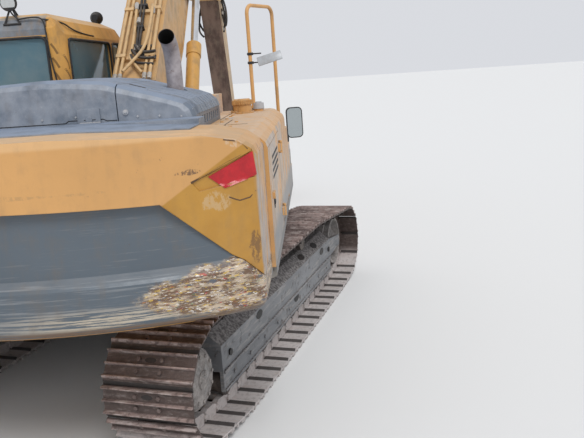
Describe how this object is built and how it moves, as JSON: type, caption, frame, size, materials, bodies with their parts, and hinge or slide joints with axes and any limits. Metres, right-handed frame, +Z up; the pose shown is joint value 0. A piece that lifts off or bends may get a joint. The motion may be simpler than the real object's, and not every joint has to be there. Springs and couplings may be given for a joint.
{
  "type": "crawler excavator",
  "caption": "Crawler excavator with slewing house, cab, boom, arm and backhoe bucket moved by coupled hydraulic cylinders, on two steel crawler tracks.",
  "frame": {"origin": "on the ground under the swing axis", "axes": "+X the way the boom points, +Y to the left of the operator, +Z up"},
  "size_m": [10.067, 4.1018, 4.6066],
  "materials": {
    "track_steel": "worn, rust-brown and dusty",
    "frame_steel": "worn grey paint under dry mud",
    "machine_yellow": "satin, sun-faded and dusty",
    "slate_paint": "satin blue-grey, scraped",
    "cast_weight": "satin paint on a casting",
    "chrome_rod": "polished",
    "exhaust_steel": "rusty, soot-stained",
    "engine_iron": "oily cast",
    "black_plastic": "matte",
    "cab_glass": "tinted",
    "bucket_steel": "worn bare edges, mud-stained",
    "arm_paint": "yellow paint under brown mud"
  },
  "bodies": {
    "undercarriage": {"carbody": "frame_steel", "swing_ring": "frame_steel", "track_frames": "frame_steel", "track_left": "track_steel", "track_right": "track_steel", "sprockets": "frame_steel", "idlers": "frame_steel", "rollers": "frame_steel"},
    "house": {"house_frame": "slate_paint", "counterweight": "cast_weight", "counterweight_bumper": "slate_paint", "engine_block": "engine_iron", "body_panels": "machine_yellow", "hood_fixed": "slate_paint", "exhaust": "exhaust_steel", "tanks": "machine_yellow", "tool_box": "machine_yellow", "handrails": "machine_yellow", "mirrors": "black_plastic", "lamps": "black_plastic", "cab_shell": "machine_yellow", "cab_interior": "black_plastic", "cab_glass": "cab_glass"},
    "engine_lid": {"hood_lid": "slate_paint"},
    "cab_door_body": {"cab_door": "machine_yellow", "cab_door_glass": "cab_glass"},
    "left_front_door": {"door_left_front": "machine_yellow"},
    "left_rear_door": {"door_left_rear": "machine_yellow"},
    "right_door": {"door_right": "machine_yellow"},
    "boom_body": {"boom": "machine_yellow", "boom_pipes": "machine_yellow"},
    "boom_tube_l": {"boom_tube_left": "machine_yellow"},
    "boom_tube_r": {"boom_tube_right": "machine_yellow"},
    "boom_rod_l": {"boom_rod_left": "chrome_rod"},
    "boom_rod_r": {"boom_rod_right": "chrome_rod"},
    "arm_tube_body": {"arm_tube": "machine_yellow"},
    "arm_rod_body": {"arm_rod": "chrome_rod"},
    "arm_body": {"arm": "arm_paint", "arm_pipes": "machine_yellow"},
    "bucket_tube_body": {"bucket_tube": "machine_yellow"},
    "bucket_rod_body": {"bucket_rod": "chrome_rod"},
    "side_link_body": {"side_links": "bucket_steel"},
    "power_link_body": {"power_link": "bucket_steel"},
    "bucket_body": {"bucket": "bucket_steel", "bucket_teeth": "bucket_steel"}
  },
  "joints": [
    {"name": "swing", "type": "hinge", "parent": "undercarriage", "child": "house", "pos_m": [0, 0, 1.05], "axis": [0, 0, 1], "continuous": true},
    {"name": "boom_lift", "type": "hinge", "parent": "house", "child": "boom_body", "pos_m": [0.12, 0, 1.93], "axis": [0, -1, 0], "range_deg": [-56, 41]},
    {"name": "boom_tube_left_tilt", "type": "hinge", "parent": "house", "child": "boom_tube_l", "pos_m": [0.7, 0.31, 1.4], "axis": [0, -1, 0], "range_deg": [-57.9, 42.52]},
    {"name": "boom_tube_right_tilt", "type": "hinge", "parent": "house", "child": "boom_tube_r", "pos_m": [0.7, -0.31, 1.4], "axis": [0, -1, 0], "range_deg": [-57.9, 42.52]},
    {"name": "boom_rod_left_slide", "type": "slide", "parent": "boom_tube_l", "child": "boom_rod_l", "axis": [0.6306, 0, 0.7761], "range_m": [-0.6744, 0.4943]},
    {"name": "boom_rod_right_slide", "type": "slide", "parent": "boom_tube_r", "child": "boom_rod_r", "axis": [0.6306, 0, 0.7761], "range_m": [-0.6744, 0.4943]},
    {"name": "arm_fold", "type": "hinge", "parent": "boom_body", "child": "arm_body", "pos_m": [5.52228, 0, 3.74807], "axis": [0, 1, 0], "range_deg": [-60, 52]},
    {"name": "arm_tube_tilt", "type": "hinge", "parent": "boom_body", "child": "arm_tube_body", "pos_m": [2.1249, 0, 4.12408], "axis": [0, 1, 0], "range_deg": [-0.82, 0.87]},
    {"name": "arm_rod_slide", "type": "slide", "parent": "arm_tube_body", "child": "arm_rod_body", "axis": [0.9937, 0, 0.1123], "range_m": [-0.6722, 0.5828]},
    {"name": "bucket_curl", "type": "hinge", "parent": "arm_body", "child": "bucket_body", "pos_m": [6.60864, 0, 1.05923], "axis": [0, 1, 0], "range_deg": [-85, 70]},
    {"name": "side_link_swing", "type": "hinge", "parent": "arm_body", "child": "side_link_body", "pos_m": [6.51246, 0, 1.48415], "axis": [0, 1, 0], "range_deg": [-62.72, 51.74]},
    {"name": "power_link_swing", "type": "hinge", "parent": "bucket_body", "child": "power_link_body", "pos_m": [7.0315, 0, 0.90533], "axis": [0, 1, 0], "range_deg": [-53.7, 65.1]},
    {"name": "bucket_tube_tilt", "type": "hinge", "parent": "arm_body", "child": "bucket_tube_body", "pos_m": [6.16784, 0, 3.40491], "axis": [0, 1, 0], "range_deg": [-4.82, 4.06]},
    {"name": "bucket_rod_slide", "type": "slide", "parent": "bucket_tube_body", "child": "bucket_rod_body", "axis": [0.4529, 0, -0.8915], "range_m": [-0.5773, 0.4758]},
    {"name": "cab_door_swing", "type": "hinge", "parent": "house", "child": "cab_door_body", "pos_m": [0.608, 1.362, 2], "axis": [0, 0, 1], "range_deg": [0, 160]},
    {"name": "left_front_door_swing", "type": "hinge", "parent": "house", "child": "left_front_door", "pos_m": [-0.348, 1.347, 1.5], "axis": [0, 0, 1], "range_deg": [-110, 0]},
    {"name": "left_rear_door_swing", "type": "hinge", "parent": "house", "child": "left_rear_door", "pos_m": [-1.892, 1.347, 1.5], "axis": [0, 0, -1], "range_deg": [-110, 0]},
    {"name": "right_door_swing", "type": "hinge", "parent": "house", "child": "right_door", "pos_m": [-0.808, -1.347, 1.5], "axis": [0, 0, 1], "range_deg": [0, 115]},
    {"name": "engine_lid_lift", "type": "hinge", "parent": "house", "child": "engine_lid", "pos_m": [-0.536, 0.3, 2.044], "axis": [0, 1, 0], "range_deg": [0, 48]}
  ],
  "couplings": [
    {"joint": "boom_tube_left_tilt", "follows": "boom_lift", "ratio": 1.025},
    {"joint": "boom_tube_right_tilt", "follows": "boom_lift", "ratio": 1.025},
    {"joint": "boom_rod_left_slide", "follows": "boom_lift", "m_per_rad": 0.688},
    {"joint": "boom_rod_right_slide", "follows": "boom_lift", "m_per_rad": 0.688},
    {"joint": "arm_tube_tilt", "follows": "arm_fold", "ratio": -0.0062},
    {"joint": "arm_rod_slide", "follows": "arm_fold", "m_per_rad": 0.64},
    {"joint": "side_link_swing", "follows": "bucket_curl", "ratio": 0.732},
    {"joint": "power_link_swing", "follows": "bucket_curl", "ratio": -0.76},
    {"joint": "bucket_tube_tilt", "follows": "bucket_curl", "ratio": 0.0508},
    {"joint": "bucket_rod_slide", "follows": "bucket_curl", "m_per_rad": 0.3878}
  ]
}
